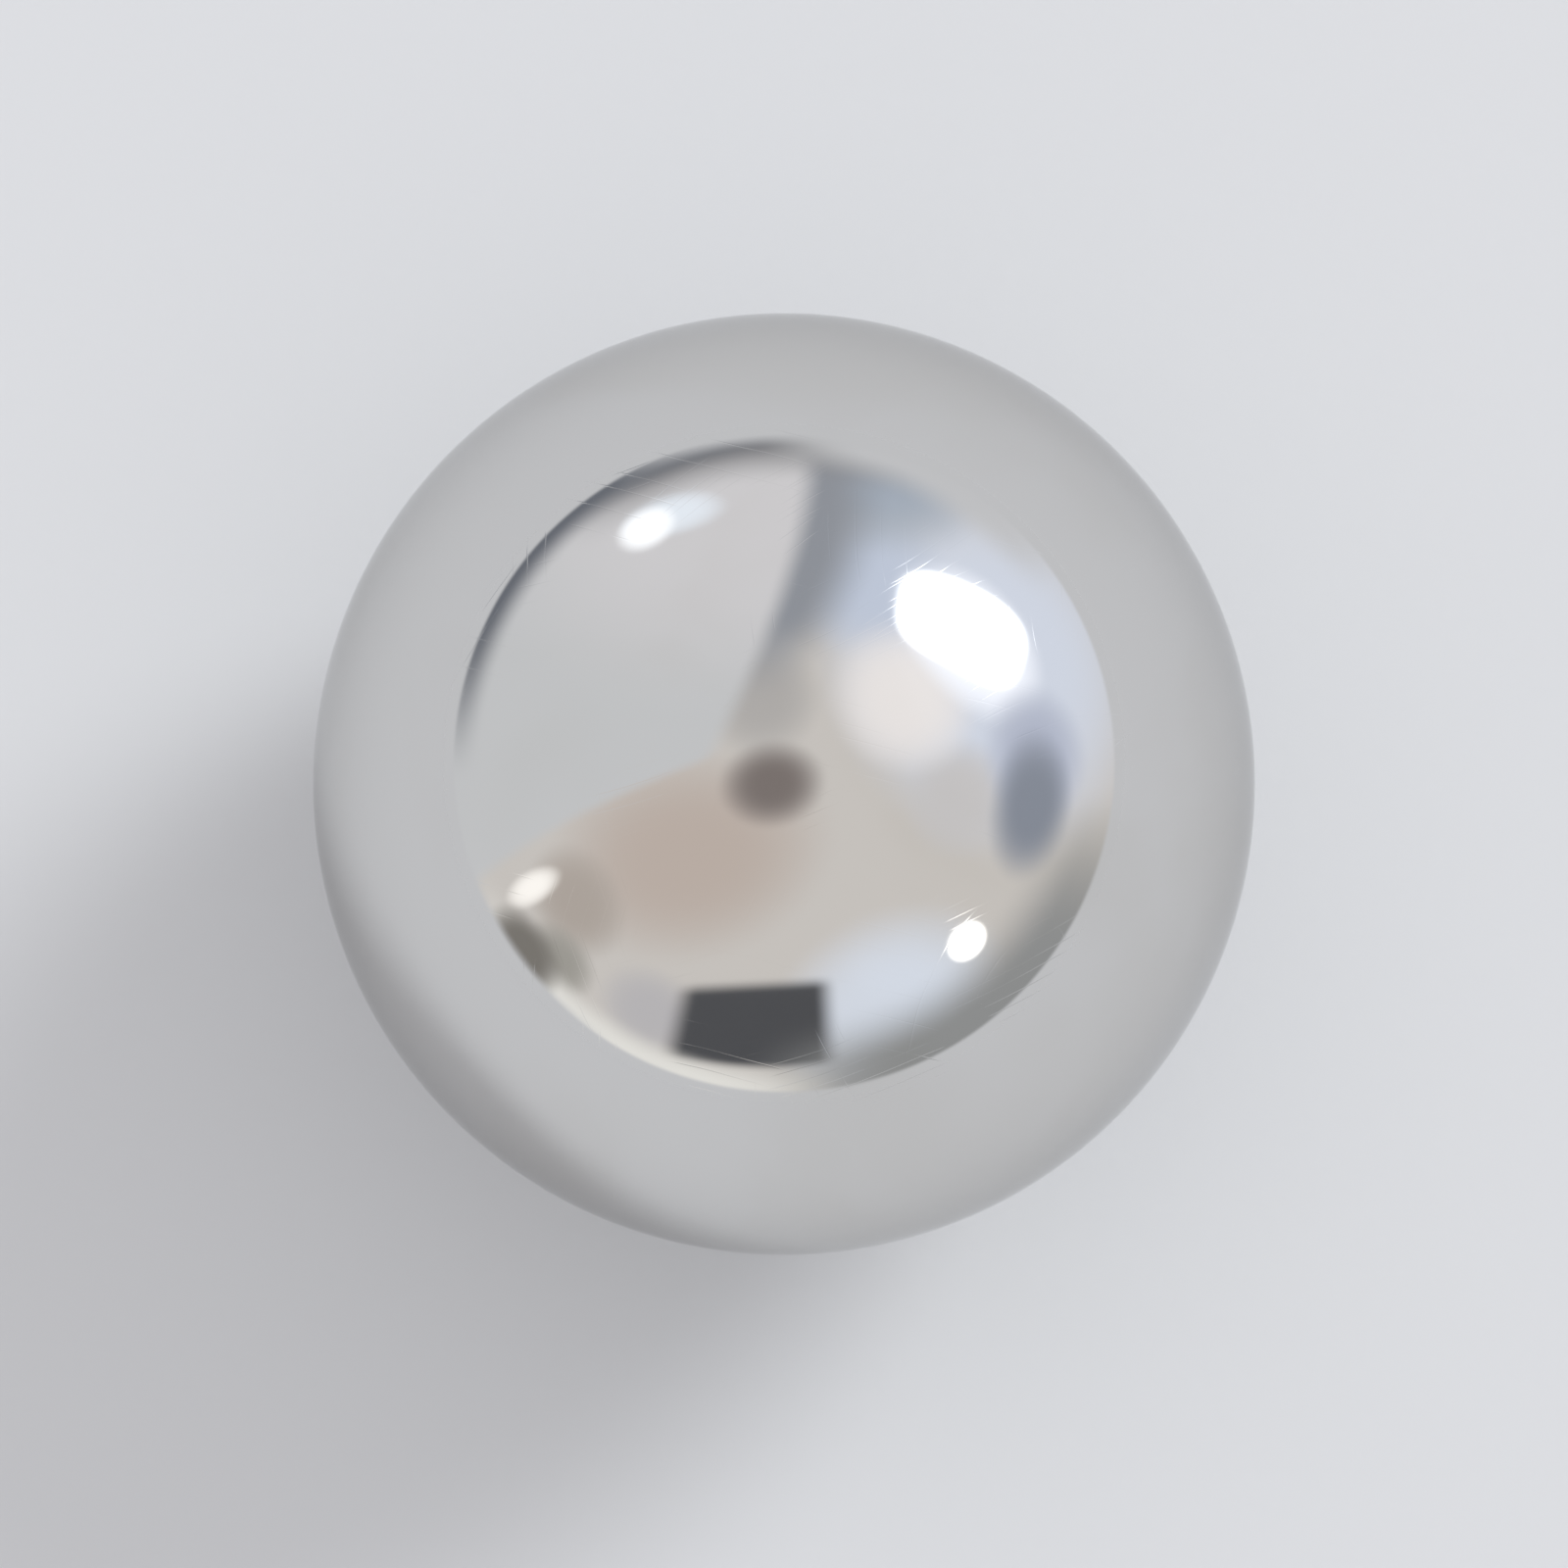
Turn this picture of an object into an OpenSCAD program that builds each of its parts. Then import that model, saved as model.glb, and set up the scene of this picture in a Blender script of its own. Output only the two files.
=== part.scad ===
// A loose steel ball: one solid piece, headed from wire, hardened,
// then ground and lapped round to a mirror finish.
// The origin is the ball's centre, and +Z points up.

/* [Ball] */
// Diameter of the ball across its polished surface
ball_d = 8; // [3:0.5:25]

/* [Hidden] */

// Segments round the ball where it is drawn as a mesh
ball_segments = 128;

// Neutral light grey of bare hardened steel
steel_colour = [0.76, 0.76, 0.75];

// The whole ball, with no flat, hole or seam left in its surface
module ball() {
    color(steel_colour)
        sphere(d = ball_d, $fn = ball_segments);
}

ball();
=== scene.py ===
# %% [markdown]
# A polished steel ball
#
# The real object is a loose steel ball, 8 mm across. A slug of wire is headed between two cups,
# its flash is ground off, and then it rolls between iron plates in finer and finer abrasive until
# it is round to a micron and shines like a mirror.
#
# A mirror has almost no look of its own: what we see on it is the room. So this lesson spends a
# short while on the ball's shape and its worked surface, and as long on the studio around it.
#
# The first cell loads the measured solid. It's a fixed frame: nothing here moves or resizes it.

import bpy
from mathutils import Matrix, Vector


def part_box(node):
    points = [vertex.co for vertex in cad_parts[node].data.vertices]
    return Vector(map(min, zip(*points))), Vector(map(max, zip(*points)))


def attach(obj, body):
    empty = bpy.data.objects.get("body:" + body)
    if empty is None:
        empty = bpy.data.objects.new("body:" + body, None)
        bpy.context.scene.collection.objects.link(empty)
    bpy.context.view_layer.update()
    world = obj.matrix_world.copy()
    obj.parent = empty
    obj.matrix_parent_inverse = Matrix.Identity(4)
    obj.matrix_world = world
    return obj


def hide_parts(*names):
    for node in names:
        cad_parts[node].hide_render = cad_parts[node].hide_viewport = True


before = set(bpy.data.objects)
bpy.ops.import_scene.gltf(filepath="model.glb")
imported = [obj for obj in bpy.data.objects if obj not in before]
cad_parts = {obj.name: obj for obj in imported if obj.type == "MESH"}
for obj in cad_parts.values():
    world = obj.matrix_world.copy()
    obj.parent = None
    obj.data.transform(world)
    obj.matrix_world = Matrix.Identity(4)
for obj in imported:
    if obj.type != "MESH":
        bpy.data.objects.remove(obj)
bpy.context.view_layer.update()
print(f"pieces in the frame: {len(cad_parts)}")

# %% [markdown]
# The tools
#
# Blender's own modules make everything here, and Python's math module counts angles. The Standard
# view transform shows a colour about as it is written.

# %% The tools that this lesson uses
import math

import bmesh
import bpy
from mathutils import Matrix, Vector

scene = bpy.context.scene
scene.view_settings.view_transform = "Standard"

# %% [markdown]
# Take the sizes from the frame
#
# The ball's middle and radius come from the solid, so the visible ball can't drift away from it.
# The lowest point of the solid is where it touches the floor.

# %% Sizes of the ball
ball_low, ball_high = (Vector(corner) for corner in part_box("ball"))
ball_centre = (ball_low + ball_high) / 2
ball_radius = (ball_high.z - ball_low.z) / 2
floor_height = ball_low.z
print(f"ball radius {ball_radius * 1000:.3f} mm, centre {tuple(round(c, 6) for c in ball_centre)}")

# %% [markdown]
# Put the camera where the photograph was taken
#
# The photograph looks down on the ball, a few degrees off the vertical, from far away for such a
# small thing. A long lens gives that flat view: the ball's face then shows almost exactly half of
# the ball, and its reflections sit where they do in the photograph.

# %% Camera
VIEW_ELEVATION = math.radians(83)
LENS_MM = 200
SENSOR_MM = 36
SHARE_OF_FRAME = 0.60
CLIP_RATIO = 100

towards_camera = Vector((0, -math.cos(VIEW_ELEVATION), math.sin(VIEW_ELEVATION)))
view_right = Vector((1, 0, 0))
view_up = towards_camera.cross(view_right)

frame_width = 2 * ball_radius / SHARE_OF_FRAME
camera_distance = frame_width * LENS_MM / SENSOR_MM

camera_data = bpy.data.cameras.new("long_lens")
camera_data.lens = LENS_MM
camera_data.sensor_width = SENSOR_MM
camera_data.clip_start = camera_distance / CLIP_RATIO
camera_data.clip_end = camera_distance * CLIP_RATIO
camera = bpy.data.objects.new("camera", camera_data)
camera.location = ball_centre + towards_camera * camera_distance
camera.rotation_mode = "QUATERNION"
camera.rotation_quaternion = towards_camera.to_track_quat("Z", "Y")
scene.collection.objects.link(camera)
scene.camera = camera
print(f"camera {camera_distance * 1000:.1f} mm from the ball's centre")

# %% [markdown]
# Small helpers for node trees
#
# Shapes, finishes and light are all built as node trees here, and a tree written out node by node
# is hard to read. One helper adds any node and fills its sockets. Two more add the plain sums and
# the vector sums that the trees are full of.

# %% Helpers that add nodes
def add_node(tree, kind, inputs=(), **settings):
    """Adds a node with its settings.

    inputs gives a value or a link for each socket, by the socket's place or by its name.
    """
    node = tree.nodes.new(kind)
    for name, value in settings.items():
        setattr(node, name, value)
    for place, value in dict(inputs).items():
        if isinstance(value, bpy.types.NodeSocket):
            tree.links.new(value, node.inputs[place])
        else:
            node.inputs[place].default_value = value
    return node


def sums(tree, operation, *values):
    """A Math node's result."""
    return add_node(tree, "ShaderNodeMath", enumerate(values), operation=operation).outputs["Value"]


def vectors(tree, operation, *values):
    """A Vector Math node's result, a number for a dot product and a vector for the rest."""
    node = add_node(tree, "ShaderNodeVectorMath", enumerate(values), operation=operation)
    return node.outputs["Value" if operation == "DOT_PRODUCT" else "Vector"]


# %% [markdown]
# Soft edges and mixed colours
#
# Nearly every mark on the steel and every light in the room has a soft edge. A smooth step gives
# it: it starts and ends level, where a straight ramp would leave two faint lines. Its result is
# then the share in which two colours are mixed.

# %% Helpers for soft edges and colours
def step_up(tree, value, start, end):
    """0 where value is at start, 1 where it is at end, and a smooth rise between them."""
    inputs = {"Value": value, "From Min": start, "From Max": end}
    node = add_node(tree, "ShaderNodeMapRange", inputs, interpolation_type="SMOOTHSTEP")
    return node.outputs["Result"]


def mixed(tree, share, first, second):
    """Goes from one colour to another as share goes from 0 to 1."""
    node = add_node(tree, "ShaderNodeMix", {"Factor": share}, data_type="RGBA")
    sockets = [socket for socket in node.inputs if socket.type == "RGBA"]
    for socket, colour in zip(sockets, (first, second)):
        if isinstance(colour, bpy.types.NodeSocket):
            tree.links.new(colour, socket)
        else:
            socket.default_value = (*colour, 1)
    return next(socket for socket in node.outputs if socket.type == "RGBA")


# %% [markdown]
# The shape: a cube blown up into a ball
#
# Blender's own UV sphere has two poles where thin triangles meet, and a mirror shows them at once.
# A cube whose faces are cut into a grid, and whose points are then pushed out to one radius, has
# no poles and nearly even squares all over. That is a rule, so Geometry Nodes can hold it:
#
# 1. cut a cube that reaches from -1 to 1 into a grid;
# 2. bend the grid with a tangent, so that its squares come out alike on the ball;
# 3. make each point a direction, by setting its length to one;
# 4. push it out to the radius, plus the trace of waviness that lapping leaves.
#
# The waviness is real. A ball of an ordinary grade is round to about a micron, and that is enough
# to let a straight edge in its reflection waver a little.

# %% Start a geometry tree with named sizes
ball_tree = bpy.data.node_groups.new("lapped_ball", "GeometryNodeTree")
ball_tree.is_modifier = True


def tree_input(name, kind, value=None):
    """Adds a named input to the ball's tree and returns the key by which a modifier knows it."""
    socket = ball_tree.interface.new_socket(name=name, in_out="INPUT", socket_type=kind)
    if value is not None:
        socket.default_value = value
    return socket.identifier


radius_key = tree_input("Radius", "NodeSocketFloat", 0.004)
squares_key = tree_input("Squares along an edge", "NodeSocketInt", 8)
waviness_key = tree_input("Waviness", "NodeSocketFloat", 0.0)
lobes_key = tree_input("Lobes across the radius", "NodeSocketFloat", 3.0)
seed_key = tree_input("Seed", "NodeSocketFloat", 0.0)
finish_key = tree_input("Finish", "NodeSocketMaterial")
ball_tree.interface.new_socket(name="Geometry", in_out="OUTPUT", socket_type="NodeSocketGeometry")
sizes = add_node(ball_tree, "NodeGroupInput").outputs

# %% Cut the cube and turn its points into directions
CUBE_SIZE = (2, 2, 2)
EIGHTH_TURN = math.pi / 4

points_along = sums(ball_tree, "ADD", sizes["Squares along an edge"], 1)
cube_inputs = {"Size": CUBE_SIZE}
for side in "XYZ":
    cube_inputs[f"Vertices {side}"] = points_along
cut_cube = add_node(ball_tree, "GeometryNodeMeshCube", cube_inputs)

on_cube = add_node(ball_tree, "GeometryNodeInputPosition").outputs["Position"]
turned = vectors(ball_tree, "MULTIPLY", on_cube, (EIGHTH_TURN,) * 3)
evened = vectors(ball_tree, "TANGENT", turned)
direction = vectors(ball_tree, "NORMALIZE", evened)

# %% Push the points out to the radius and the waviness
WAVE_DETAIL = 1.0

wave_inputs = {"Vector": direction, "W": sizes["Seed"], "Scale": sizes["Lobes across the radius"]}
wave_inputs["Detail"] = WAVE_DETAIL
wave = add_node(ball_tree, "ShaderNodeTexNoise", wave_inputs, noise_dimensions="4D").outputs[0]
# A noise runs from 0 to 1. Twice that less 1 runs as far inwards as outwards.
wave_either_way = sums(ball_tree, "MULTIPLY_ADD", wave, 2.0, -1.0)
reach = sums(ball_tree, "MULTIPLY_ADD", wave_either_way, sizes["Waviness"], sizes["Radius"])
push = {"Vector": direction, "Scale": reach}
on_ball = add_node(ball_tree, "ShaderNodeVectorMath", push, operation="SCALE").outputs["Vector"]

# %% Set the points there, shade them smooth, and hand the mesh out
new_places = {"Geometry": cut_cube.outputs["Mesh"], "Position": on_ball}
moved = add_node(ball_tree, "GeometryNodeSetPosition", new_places)
smooth = add_node(ball_tree, "GeometryNodeSetShadeSmooth", {"Geometry": moved.outputs[0]})
real = add_node(ball_tree, "GeometryNodeRealizeInstances", {"Geometry": smooth.outputs[0]})
coat = {"Geometry": real.outputs[0], "Material": sizes["Finish"]}
coated = add_node(ball_tree, "GeometryNodeSetMaterial", coat)
add_node(ball_tree, "NodeGroupOutput", {"Geometry": coated.outputs[0]})
print(f"geometry tree with {len(ball_tree.nodes)} nodes")

# %% [markdown]
# The finish: bare steel, lapped until it mirrors
#
# Hardened steel sends back about two thirds of the light and hardly colours it. In a shader that
# is a metal with a neutral, faintly warm base colour and almost no roughness.
#
# A perfect mirror looks drawn, though. Three things that a real lapped ball has are added, each so
# faint that it shows only where a bright edge is reflected: the tracks of the abrasive, a cloudy
# haze, and a film of oil. All are patterns on the ball's own Object coordinates, counted in radii,
# so they stay in place on the steel from whichever side it is seen.

# %% Start the steel's material
steel = bpy.data.materials.new("polished_steel")
steel.use_nodes = True
steel.node_tree.nodes.clear()
paint = steel.node_tree
place = add_node(paint, "ShaderNodeTexCoord").outputs["Object"]
per_radius = (1 / ball_radius,) * 3
unit_place = vectors(paint, "MULTIPLY", place, per_radius)

# %% [markdown]
# Lapping tracks
#
# The abrasive leaves hair-fine arcs. A ball tumbles as it is lapped, so they run every way. An
# image of scratches would need a flat map of the ball and stretch at its ends. Circles round an
# axis need none: they are where the distance along the axis is the same, and a one-dimensional
# Voronoi texture spaces them unevenly. Four axes give four families, and a noise shows each family
# only here and there, which breaks its circles into short arcs.

# %% Lapping tracks: circles round several axes, broken into short arcs
# Each family is its axis and how many lines there are in one radius along it.
TRACK_FAMILIES = [
    ((0.90, 0.20, 0.38), 25.0),
    ((-0.35, 0.85, 0.40), 36.0),
    ((0.60, -0.55, 0.58), 31.0),
    ((0.25, 0.95, 0.15), 21.0),
]
TRACK_HALF_WIDTH = 0.030
TRACK_WOBBLE = 0.014
ARC_SCALE = 4.2
ARC_DETAIL = 1.0
# Which channel of the noise cuts each family, where it hides the tracks, and where it shows them.
ARC_CUTS = [("Red", 0.55, 0.64), ("Green", 0.55, 0.64), ("Blue", 0.55, 0.64), ("Red", 0.45, 0.36)]

arc_inputs = {"Vector": unit_place, "Scale": ARC_SCALE, "Detail": ARC_DETAIL}
arc_noise = add_node(paint, "ShaderNodeTexNoise", arc_inputs).outputs["Color"]
arc_channels = add_node(paint, "ShaderNodeSeparateColor", {"Color": arc_noise}).outputs
wobble = sums(paint, "MULTIPLY", arc_channels["Red"], TRACK_WOBBLE)


def tracks_round(axis, lines_across, cut):
    """1 on the arcs of one family of tracks, 0 elsewhere."""
    along = vectors(paint, "DOT_PRODUCT", unit_place, Vector(axis).normalized())
    spacing = {"W": sums(paint, "ADD", along, wobble), "Scale": lines_across}
    kind = {"voronoi_dimensions": "1D", "feature": "DISTANCE_TO_EDGE"}
    off_line = add_node(paint, "ShaderNodeTexVoronoi", spacing, **kind).outputs["Distance"]
    channel, hidden, shown = cut
    arc = step_up(paint, arc_channels[channel], hidden, shown)
    return sums(paint, "MULTIPLY", step_up(paint, off_line, TRACK_HALF_WIDTH, 0.0), arc)


tracks = 0.0
for (axis, lines_across), cut in zip(TRACK_FAMILIES, ARC_CUTS):
    tracks = sums(paint, "MAXIMUM", tracks, tracks_round(axis, lines_across, cut))
print(f"{len(TRACK_FAMILIES)} families of lapping tracks")

# %% [markdown]
# Haze and film
#
# Haze is where the last paste cut less well, so the mirror is a little less sharp. Film is the
# trace of oil that keeps the steel from rusting, and dims it by a few hundredths. Both change
# slowly over the ball, so each is one noise with large clouds: one moves the roughness, and the
# other the colour.

# %% Haze and film: slow clouds in roughness and in colour
MIRROR_ROUGHNESS = 0.030
HAZE_ROUGHNESS = 0.022
TRACK_ROUGHNESS = 0.08
HAZE_SCALE = 2.4
HAZE_FROM, HAZE_TO = 0.35, 0.70
FILM_SCALE = 1.3
FILM_FROM, FILM_TO = 0.42, 0.68
CLOUD_DETAIL = 3.0
FILM_DISTORTION = 0.6
STEEL_COLOUR = (0.700, 0.695, 0.685)
FILMED_COLOUR = (0.672, 0.664, 0.648)

haze_inputs = {"Vector": unit_place, "Scale": HAZE_SCALE, "Detail": CLOUD_DETAIL}
haze_noise = add_node(paint, "ShaderNodeTexNoise", haze_inputs).outputs[0]
haze = step_up(paint, haze_noise, HAZE_FROM, HAZE_TO)
roughness = sums(paint, "MULTIPLY_ADD", haze, HAZE_ROUGHNESS, MIRROR_ROUGHNESS)
roughness = sums(paint, "MULTIPLY_ADD", tracks, TRACK_ROUGHNESS, roughness)

film_inputs = {"Vector": unit_place, "Scale": FILM_SCALE, "Detail": CLOUD_DETAIL}
film_inputs["Distortion"] = FILM_DISTORTION
film_noise = add_node(paint, "ShaderNodeTexNoise", film_inputs).outputs[0]
film = step_up(paint, film_noise, FILM_FROM, FILM_TO)
steel_colour = mixed(paint, film, STEEL_COLOUR, FILMED_COLOUR)

# %% [markdown]
# One metal shader
#
# The tracks are also a bump, a tenth of a micron deep, which tips the mirror just enough for
# them to glint beside a lamp. A plain metal shader goes white towards the rim. Its edge tint sets
# the rim's tone instead, and steel's rim stays grey.

# %% Join them in one metal shader
TRACK_DEPTH = 0.10e-6
EDGE_TINT = (0.77, 0.77, 0.77, 1)

depth = sums(paint, "MULTIPLY", tracks, TRACK_DEPTH)
groove_inputs = {"Height": depth, "Strength": 1.0, "Distance": 1.0}
grooves = add_node(paint, "ShaderNodeBump", groove_inputs, invert=True)
metal_inputs = {
    "Base Color": steel_colour,
    "Metallic": 1.0,
    "Specular Tint": EDGE_TINT,
    "Roughness": roughness,
    "Normal": grooves.outputs["Normal"],
}
metal = add_node(paint, "ShaderNodeBsdfPrincipled", metal_inputs)
add_node(paint, "ShaderNodeOutputMaterial", {"Surface": metal.outputs["BSDF"]})
print(f"steel material with {len(paint.nodes)} nodes")

# %% [markdown]
# Make the ball and turn it into a plain mesh
#
# The modifier's inputs are set by their keys before the ball is first evaluated. The result is
# copied out as a plain mesh and the modifier is taken off, so what is kept is only geometry.

# %% Run the tree
SQUARES_ALONG_EDGE = 96
WAVINESS = 0.7e-6
LOBES = 2.6
WAVE_SEED = 4.0

ball = bpy.data.objects.new("polished_ball", bpy.data.meshes.new("polished_ball"))
scene.collection.objects.link(ball)
lapping = ball.modifiers.new("lapping", "NODES")
lapping.node_group = ball_tree
lapping[radius_key] = ball_radius
lapping[squares_key] = SQUARES_ALONG_EDGE
lapping[waviness_key] = WAVINESS
lapping[lobes_key] = LOBES
lapping[seed_key] = WAVE_SEED
lapping[finish_key] = steel

depsgraph = bpy.context.evaluated_depsgraph_get()
ball_mesh = bpy.data.meshes.new_from_object(ball.evaluated_get(depsgraph), depsgraph=depsgraph)
ball.modifiers.clear()
ball.data = ball_mesh

# %% Move the points to the ball's centre, and measure the result
ball_mesh.transform(Matrix.Translation(ball_centre))
check = bmesh.new()
check.from_mesh(ball_mesh)
reaches = [(vertex.co - ball_centre).length for vertex in check.verts]
open_edges = sum(not edge.is_manifold for edge in check.edges)
volume = check.calc_volume(signed=True)
check.free()
print(f"{len(ball_mesh.polygons)} squares, {open_edges} open edges, volume {volume * 1e9:.2f} cubic mm")
print(f"radius from {min(reaches) * 1000:.5f} to {max(reaches) * 1000:.5f} mm")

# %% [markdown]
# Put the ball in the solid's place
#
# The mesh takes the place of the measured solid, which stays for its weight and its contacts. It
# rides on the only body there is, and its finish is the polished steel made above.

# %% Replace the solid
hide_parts("ball")
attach(ball, "root")

# %% [markdown]
# A plain pale floor
#
# The floor is one large square, well past the horizon of any view. Fully matt paper, with no gloss
# at all, takes the ball's soft shadow and gives the ball a pale ring to mirror.

# %% Floor
FLOOR_HALF_WIDTH = 1.5
FLOOR_COLOUR = (0.695, 0.707, 0.72, 1)
CORNERS = [(-1, -1), (1, -1), (1, 1), (-1, 1)]

floor_points = [(x * FLOOR_HALF_WIDTH, y * FLOOR_HALF_WIDTH, floor_height) for x, y in CORNERS]
floor_mesh = bpy.data.meshes.new("floor")
floor_mesh.from_pydata(floor_points, [], [(0, 1, 2, 3)])
floor = bpy.data.objects.new("floor", floor_mesh)
scene.collection.objects.link(floor)

matt_paper = bpy.data.materials.new("matt_paper")
matt_paper.use_nodes = True
matt_paper.node_tree.nodes.clear()
matt = add_node(matt_paper.node_tree, "ShaderNodeBsdfDiffuse", {"Color": FLOOR_COLOUR})
add_node(matt_paper.node_tree, "ShaderNodeOutputMaterial", {"Surface": matt.outputs["BSDF"]})
floor_mesh.materials.append(matt_paper)

# %% [markdown]
# The studio, painted on the sky
#
# A mirror ball shows nearly the whole studio. The direction that it shows at a place on its face
# turns twice as fast as the surface does, so a small step near the rim covers a lot of the room.
# That works both ways: name a place on the ball's face, and the direction in which a light must
# stand to be seen there follows from the mirror rule.
#
# The studio is drawn in the world's shader, at no distance and with no geometry, so nothing of it
# can stand in the way of another view.

# %% From a place on the ball's face to a direction in the room
def shown_at(across, up):
    """The direction mirrored at a place on the ball's face, in radii right of and above its middle."""
    outward = math.sqrt(1 - across**2 - up**2)
    normal = across * view_right + up * view_up + outward * towards_camera
    return 2 * outward * normal - towards_camera


world = bpy.data.worlds.new("soft_studio")
world.use_nodes = True
world.node_tree.nodes.clear()
scene.world = world
sky = world.node_tree
looking = add_node(sky, "ShaderNodeTexCoord").outputs["Generated"]

# %% [markdown]
# Two kinds of brush
#
# A glow is round or oval: it is strong within some degrees of a direction, and has faded out some
# degrees further. A card has edges. Each edge runs through three places on the ball's face. The
# three directions seen there lie on one plane, and one dot product tells on which side of that
# plane a direction is.

# %% Masks for what hangs in the room
def card(within, *edges):
    """1 on a card, 0 off it. within is a place on it, and each edge is three places and its softness."""
    share = 1.0
    for *places, softness in edges:
        first, second, third = (shown_at(*place) for place in places)
        inwards = (second - first).cross(third - first).normalized()
        if inwards.dot(shown_at(*within) - first) < 0:
            inwards.negate()
        edge = inwards.dot(first)
        across = vectors(sky, "DOT_PRODUCT", looking, inwards)
        share = sums(sky, "MULTIPLY", share, step_up(sky, across, edge - softness, edge + softness))
    return share


def glow(place, inner, outer, along=None, squeeze=0.0):
    """1 within inner degrees of the direction seen at a place, 0 past outer degrees.

    squeeze narrows it across the line that runs on from the place to the place along.
    """
    middle = shown_at(*place)
    nearness = vectors(sky, "DOT_PRODUCT", looking, middle)
    if along:
        across = middle.cross(shown_at(*along)).normalized()
        sideways = vectors(sky, "DOT_PRODUCT", looking, across)
        bent = sums(sky, "MULTIPLY", sideways, sideways)
        nearness = sums(sky, "MULTIPLY_ADD", bent, -squeeze, nearness)
    return step_up(sky, nearness, math.cos(math.radians(outer)), math.cos(math.radians(inner)))


def with_glows(room, glows):
    """Lays glows over the room in turn. Each is a name, its colour, and what glow() needs."""
    for name, colour, *shape in glows:
        room = mixed(sky, glow(*shape), room, colour)
        print(f"glow: {name}")
    return room


# %% [markdown]
# Walls first, then the lights
#
# The room is pale and warm, and cooler where daylight from the window spills over the walls. Each
# colour is how bright that part of the room is. The steel sends back seven tenths of it, so a wall
# at 0.8 looks like a light grey on the ball, and only what is over 1.4 looks white.

# %% Walls and the light that spills over them
WARM_WALL = (0.80, 0.765, 0.735)
WALL_GLOWS = [
    ("warm corner", (0.685, 0.59, 0.535), (-0.20, -0.15), 1, 38, (-0.45, -0.20), 0.5),
    ("warm shade beside the left lamp", (0.58, 0.52, 0.475), (-0.432, -0.246), 1, 14),
    ("shade beside the left door", (0.47, 0.455, 0.42), (-0.468, -0.366), 1, 9.5),
    ("shade beside the dark card", (0.66, 0.645, 0.67), (-0.275, -0.475), 1, 13),
    ("daylight low in front", (0.93, 1.00, 1.13), (0.23, -0.47), 6, 28),
    ("daylight round the window", (0.89, 0.955, 1.10), (0.43, 0.26), 16, 46),
    ("plain wall beside the door", (0.80, 0.785, 0.80), (0.365, -0.03), 1, 15),
    ("cool wall over the window", (0.73, 0.81, 0.98), (0.175, 0.42), 2, 22),
    ("cream curtain", (1.16, 1.12, 1.12), (0.25, 0.18), 2, 20),
    ("halo of the window", (1.40, 1.45, 1.58), (0.39, 0.30), 8, 22, (0.46, 0.21), 0.35),
    ("blue dusk behind the window", (0.52, 0.59, 0.70), (0.17, 0.64), 4, 24),
]
room = with_glows(WARM_WALL, WALL_GLOWS)

# %% The shaded strip between the window and the ceiling panel
STRIP_SIDE = ((0.165, 0.60), (0.13, 0.435), (0.06, 0.30), 0.10)
STRIP_FOOT = ((-0.2, 0.25), (0.0, 0.25), (0.2, 0.25), 0.20)
STRIP_COLOUR = (0.385, 0.41, 0.46)

room = with_glows(room, [("foot of the strip", (0.60, 0.58, 0.57), (-0.05, 0.18), 1, 16)])
room = mixed(sky, card((0.0, 0.5), STRIP_SIDE, STRIP_FOOT), room, STRIP_COLOUR)

# %% The pale ceiling panel, open towards the upper left
PANEL_FOOT = ((-0.626, -0.191), (-0.418, -0.061), (-0.136, 0.061), 0.03)
PANEL_SIDE = ((0.052, 0.626), (-0.006, 0.39), (-0.142, 0.078), 0.05)
PANEL_COLOUR = (0.755, 0.77, 0.795)
PANEL_GLOW = ("lit end of the panel", (0.86, 0.85, 0.88), (-0.05, 0.60), 4, 60)

panel_colour = with_glows(PANEL_COLOUR, [PANEL_GLOW])
room = mixed(sky, card((-0.35, 0.22), PANEL_FOOT, PANEL_SIDE), room, panel_colour)

# %% Small things in the room: a far skylight, two lamps and a door with its shade
SMALL_GLOWS = [
    ("tail of the skylight", (1.10, 1.18, 1.29), (-0.232, 0.562), 2, 12, (-0.34, 0.53), 0.9),
    ("skylight", (1.60, 1.64, 1.70), (-0.287, 0.532), 1, 7),
    ("right lamp", (5.0, 4.9, 4.7), (0.380, -0.327), 2, 5.2),
    ("left lamp", (1.38, 1.34, 1.29), (-0.522, -0.215), 1, 10, (-0.47, -0.185), 3.0),
    ("shade over the right door", (0.62, 0.67, 0.83), (0.525, 0.06), 1, 16),
    ("right door", (0.335, 0.37, 0.445), (0.515, -0.045), 4, 17, (0.53, 0.1), 0.4),
]
room = with_glows(room, SMALL_GLOWS)

# %% A dark card low in front, wider at its foot
CARD_TOP = ((-0.206, -0.425), (-0.05, -0.417), (0.102, -0.409), 0.03)
CARD_FOOT = ((-0.241, -0.566), (-0.05, -0.588), (0.120, -0.575), 0.03)
CARD_LEFT = ((-0.206, -0.425), (-0.224, -0.50), (-0.241, -0.566), 0.05)
CARD_RIGHT = ((0.087, -0.409), (0.092, -0.49), (0.097, -0.575), 0.05)
CARD_COLOUR = (0.105, 0.108, 0.118)

dark_card = card((-0.05, -0.5), CARD_TOP, CARD_FOOT, CARD_LEFT, CARD_RIGHT)
room = mixed(sky, dark_card, room, CARD_COLOUR)

# %% The opening for the camera's lens, straight above the ball
LENS_OPENING = ("lens opening", (0.27, 0.235, 0.225), (-0.025, 0.0), 2, 14, (0.1, 0.02), 0.25)
room = with_glows(room, [LENS_OPENING])

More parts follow.
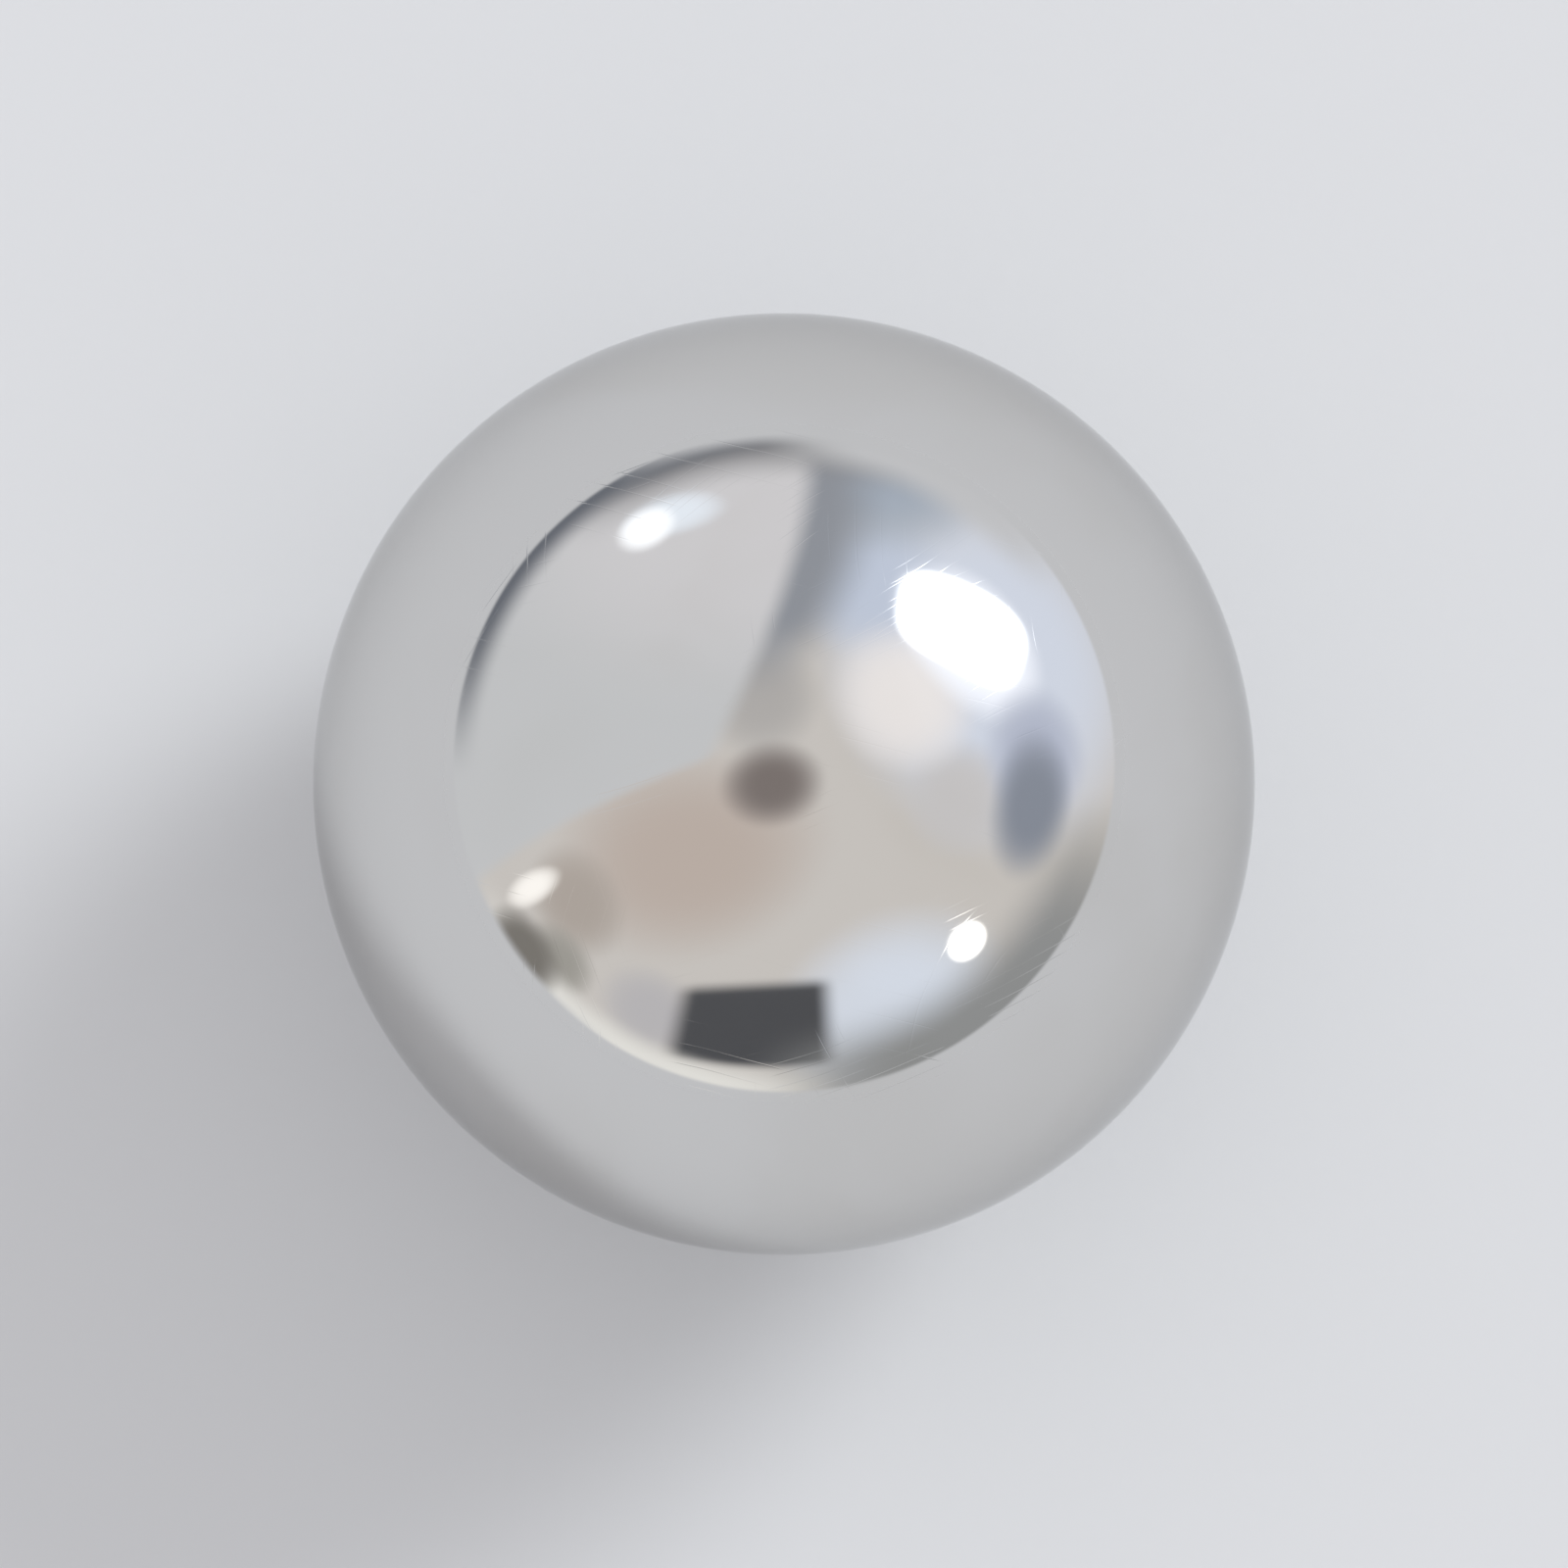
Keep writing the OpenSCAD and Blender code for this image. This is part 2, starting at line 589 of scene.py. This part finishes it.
# %% [markdown]
# What stands low round the room
#
# Just over the horizon a dark rim runs from the left of the ball's face to its top. The room is dark
# at the lower right too, bright at the lower left, and a dark door stands at the left. Where the
# rim and the door lie higher than the horizon, a stretch in the backdrop's tone fills the gap below.
#
# Each stretch fades out two ways: with the turn away from its middle, and with the height over
# the horizon. It keeps its full strength for a third of the way.

# %% Dark, bright and pale stretches just over the horizon
BACKDROP_COLOUR = (0.734, 0.745, 0.774)
# Each is a name, its colour, the place of its middle, and the turn and height at which it ends.
LOW_STRETCHES = [
    ("grey over the top", (0.36, 0.36, 0.375), (-0.085, 0.69), 36, 20),
    ("dark upper left", (0.19, 0.205, 0.24), (-0.46, 0.54), 50, 12.5),
    ("dark lower right", (0.375, 0.385, 0.39), (0.44, -0.52), 50, 26),
    ("bright lower left", (1.05, 1.04, 1.00), (-0.34, -0.56), 44, 12),
    ("left door", (0.265, 0.25, 0.23), (-0.544, -0.348), 10.5, 30),
    ("pale foot of the left door", BACKDROP_COLOUR, (-0.56, -0.37), 24, 6),
    ("pale upper right", (0.75, 0.76, 0.79), (0.30, 0.63), 30, 17),
    ("pale over the top", BACKDROP_COLOUR, (0.06, 0.70), 36, 8),
]
FULL_SHARE = 1 / 3

height = add_node(sky, "ShaderNodeSeparateXYZ", {"Vector": looking}).outputs["Z"]
for name, colour, middle, turn, top in LOW_STRETCHES:
    near = glow(middle, turn * FULL_SHARE, turn)
    faded, full = (math.sin(math.radians(rise)) for rise in (top, top * FULL_SHARE))
    low = step_up(sky, height, faded, full)
    room = mixed(sky, sums(sky, "MULTIPLY", low, near), room, colour)
    print(f"low stretch: {name}")

# %% A plain pale backdrop at the horizon, in the floor's own tone
BACKDROP_TOP = math.radians(2.6)
BACKDROP_FADE = math.radians(4.0)

backdrop = step_up(sky, height, math.sin(BACKDROP_FADE), math.sin(BACKDROP_TOP))
room = mixed(sky, backdrop, room, BACKDROP_COLOUR)

# %% [markdown]
# A plain sky for matt things
#
# The matt floor only ever sees the mean of the room, yet each of its light rays would work out the
# whole drawing. Light Path tells what kind of ray is looking. A diffuse ray gets one plain colour,
# close to the drawing's own mean, and every other ray gets the drawing. The plain sky is even, so
# light rays find it by chance, and no map of its bright places is made: sampling by such a map is
# turned off.

# %% Join the drawn room and the plain sky in the world's output
PLAIN_SKY = (0.78, 0.768, 0.785, 1)

drawn_room = add_node(sky, "ShaderNodeBackground", {"Color": room}).outputs["Background"]
plain_sky = add_node(sky, "ShaderNodeBackground", {"Color": PLAIN_SKY}).outputs["Background"]
from_matt = add_node(sky, "ShaderNodeLightPath").outputs["Is Diffuse Ray"]
light = add_node(sky, "ShaderNodeMixShader", {0: from_matt, 1: drawn_room, 2: plain_sky})
add_node(sky, "ShaderNodeOutputWorld", {"Surface": light.outputs["Shader"]})
world.cycles.sampling_method = "NONE"
print(f"studio with {len(sky.nodes)} nodes")

# %% [markdown]
# The window is a real lamp
#
# A bright area lamp stands where the ball shows the window. It is forty metres off, because a far
# lamp lights the whole floor alike, up to the horizon. Its own small node tree fades it towards
# its edges and rounds its corners, because a window with curtains has no hard outline.

# %% Window lamp
WINDOW_PLACE = (0.372, 0.328)
WINDOW_DISTANCE = 40.0
WINDOW_WIDTH = 0.60 * WINDOW_DISTANCE
WINDOW_HEIGHT = 0.42 * WINDOW_DISTANCE
WINDOW_ROLL = math.radians(35)
WINDOW_BRIGHTNESS = 18.0
WINDOW_COLOUR = (0.95, 0.98, 1.0)

window_data = bpy.data.lights.new("window", "AREA")
window_data.shape = "RECTANGLE"
window_data.size = WINDOW_WIDTH
window_data.size_y = WINDOW_HEIGHT
window_data.energy = WINDOW_BRIGHTNESS * math.pi * WINDOW_WIDTH * WINDOW_HEIGHT
window_data.color = WINDOW_COLOUR
window_data.use_nodes = True

# %% Curtains: fade the lamp out towards its edges, with round corners
# Parametric runs from 0 to 1 across the lamp, so an edge is this far from its middle.
TO_EDGE = 0.5
CURTAIN_SHARE = 0.38
CORNER_POWER = 3.0

curtain = window_data.node_tree
across_window = add_node(curtain, "ShaderNodeNewGeometry").outputs["Parametric"]
from_edges = add_node(curtain, "ShaderNodeSeparateXYZ", {"Vector": across_window}).outputs
off_middle = 0.0
for share in (from_edges["X"], from_edges["Y"]):
    to_side = sums(curtain, "ABSOLUTE", sums(curtain, "SUBTRACT", share, TO_EDGE))
    off_middle = sums(curtain, "ADD", off_middle, sums(curtain, "POWER", to_side, CORNER_POWER))
off_middle = sums(curtain, "POWER", off_middle, 1 / CORNER_POWER)
fade = step_up(curtain, off_middle, TO_EDGE, TO_EDGE - CURTAIN_SHARE)
curtain.nodes["Emission"].inputs["Color"].default_value = (1, 1, 1, 1)
curtain.links.new(fade, curtain.nodes["Emission"].inputs["Strength"])

# %% Turn the lamp towards the ball
towards_window = shown_at(*WINDOW_PLACE)
upright = towards_window.to_track_quat("Z", "Y")

window = bpy.data.objects.new("window", window_data)
window.rotation_mode = "QUATERNION"
window.rotation_quaternion = upright @ Matrix.Rotation(WINDOW_ROLL, 3, "Z").to_quaternion()
window.location = ball_centre + towards_window * WINDOW_DISTANCE
scene.collection.objects.link(window)
window_rise = math.degrees(math.asin(towards_window.z))
print(f"window {window_rise:.0f} degrees above the floor")
